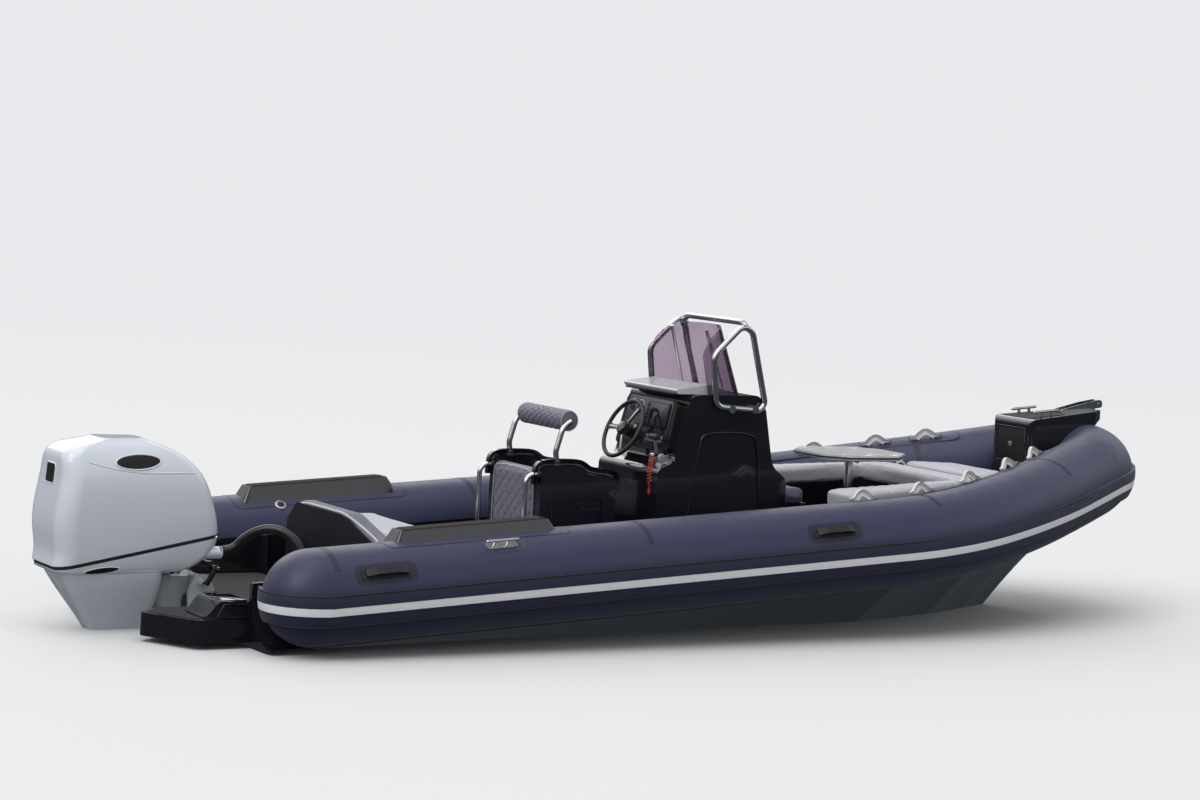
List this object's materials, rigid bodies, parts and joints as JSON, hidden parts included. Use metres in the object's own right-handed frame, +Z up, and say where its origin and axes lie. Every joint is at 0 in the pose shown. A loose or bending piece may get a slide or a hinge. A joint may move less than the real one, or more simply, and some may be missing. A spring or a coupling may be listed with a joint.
{
  "type": "inflatable rib boat",
  "caption": "Rigid-hulled inflatable boat with centre console, helm seat, aft bench, bow lounge and one outboard that tilts and steers.",
  "frame": {"origin": "on the centreline, at the waterline, under the transom's aft face", "axes": "+X forward to the bow, +Y to port, +Z up"},
  "size_m": [7.626, 2.764, 2.709],
  "materials": {
    "tube_fabric": "satin",
    "strake_rubber": "matte",
    "strake_fabric": "satin",
    "stripe_white": "satin",
    "gelcoat_dark": "gloss",
    "deck_pad": "matte",
    "webbing": "woven",
    "cushion_light": "satin",
    "cushion_dark": "satin",
    "panel_dark": "matte",
    "stainless": "polished",
    "console_black": "gloss",
    "dash_black": "gloss",
    "hood_light": "gloss",
    "acrylic": "clear",
    "wheel_black": "matte",
    "table_white": "gloss",
    "engine_white": "gloss",
    "engine_grey": "gloss",
    "bracket_paint": "satin",
    "engine_block": "cast",
    "prop_steel": "polished",
    "hose_black": "gloss"
  },
  "bodies": {
    "boat": {"buoyancy_tube": "tube_fabric", "rub_strake": "strake_fabric", "strake_stripe": "stripe_white", "hull": "gelcoat_dark", "cockpit_sole": "deck_pad", "aft_deck_pad": "deck_pad", "swim_platforms": "gelcoat_dark", "step_pads": "panel_dark", "tube_handles": "strake_rubber", "grab_straps": "webbing", "bench_locker": "gelcoat_dark", "bench_back_panel": "panel_dark", "bench_back_cushion": "cushion_dark", "helm_shell": "gelcoat_dark", "helm_cushion": "cushion_light", "helm_back_cushion": "cushion_dark", "helm_roll": "cushion_dark", "helm_rails": "stainless", "console_hood": "hood_light", "windscreen": "acrylic", "windscreen_frame": "stainless", "console_shell": "console_black", "dash_panel": "dash_black", "throttle": "stainless", "table_top": "table_white", "table_post": "stainless", "lounge_base": "gelcoat_dark", "lounge_cushions": "cushion_light", "bow_box": "gelcoat_dark", "bow_roller_channel": "stainless", "cleats": "stainless", "clamp_bracket": "bracket_paint", "rigging_hose": "hose_black", "hose_gland": "panel_dark"},
    "tilt_bracket": {"swivel_bracket": "bracket_paint"},
    "engine": {"upper_cowl": "engine_white", "cowl_seal": "strake_rubber", "lower_cowl": "engine_white", "powerhead": "engine_block", "midsection": "engine_grey", "gearcase": "engine_grey"},
    "screw": {"propeller": "prop_steel"},
    "helm_wheel": {"steering_wheel": "wheel_black"},
    "bench_lid_body": {"bench_lid": "gelcoat_dark", "bench_cushion": "cushion_light"},
    "console_lid_body": {"console_seat_lid": "console_black", "console_seat_cushion": "cushion_dark"},
    "bow_lid_body": {"bow_locker_lid": "gelcoat_dark", "bow_cushion": "cushion_light"},
    "roller_body": {"bow_roller": "strake_rubber"}
  },
  "joints": [
    {"name": "tilt", "type": "hinge", "parent": "boat", "child": "tilt_bracket", "pos_m": [-0.02, 0, 0.272], "axis": [0, 1, 0], "range_deg": [0, 62], "deforming": ["rigging_hose"]},
    {"name": "steer", "type": "hinge", "parent": "tilt_bracket", "child": "engine", "pos_m": [-0.2, 0, 0], "axis": [0, 0, 1], "range_deg": [-30, 30], "deforming": ["rigging_hose"]},
    {"name": "prop_spin", "type": "hinge", "parent": "engine", "child": "screw", "pos_m": [-0.905, 0, -0.6], "axis": [1, 0, 0], "continuous": true},
    {"name": "wheel_turn", "type": "hinge", "parent": "boat", "child": "helm_wheel", "pos_m": [2.85, 0.08, 1.15], "axis": [-0.9063, 0, 0.4226], "range_deg": [-720, 720]},
    {"name": "bench_lid_open", "type": "hinge", "parent": "boat", "child": "bench_lid_body", "pos_m": [1.378, 0, 0.4703], "axis": [0, 1, 0], "range_deg": [0, 90]},
    {"name": "console_lid_open", "type": "hinge", "parent": "boat", "child": "console_lid_body", "pos_m": [4.02, 0, 0.7003], "axis": [0, 1, 0], "range_deg": [0, 85]},
    {"name": "bow_lid_open", "type": "hinge", "parent": "boat", "child": "bow_lid_body", "pos_m": [5.61, 0, 0.8003], "axis": [0, 1, 0], "range_deg": [0, 80]},
    {"name": "roller_spin", "type": "hinge", "parent": "boat", "child": "roller_body", "pos_m": [6.4954, 0, 1.34996], "axis": [0, 1, 0], "continuous": true}
  ],
  "couplings": [
    {"joint": "wheel_turn", "follows": "steer", "ratio": 24}
  ]
}
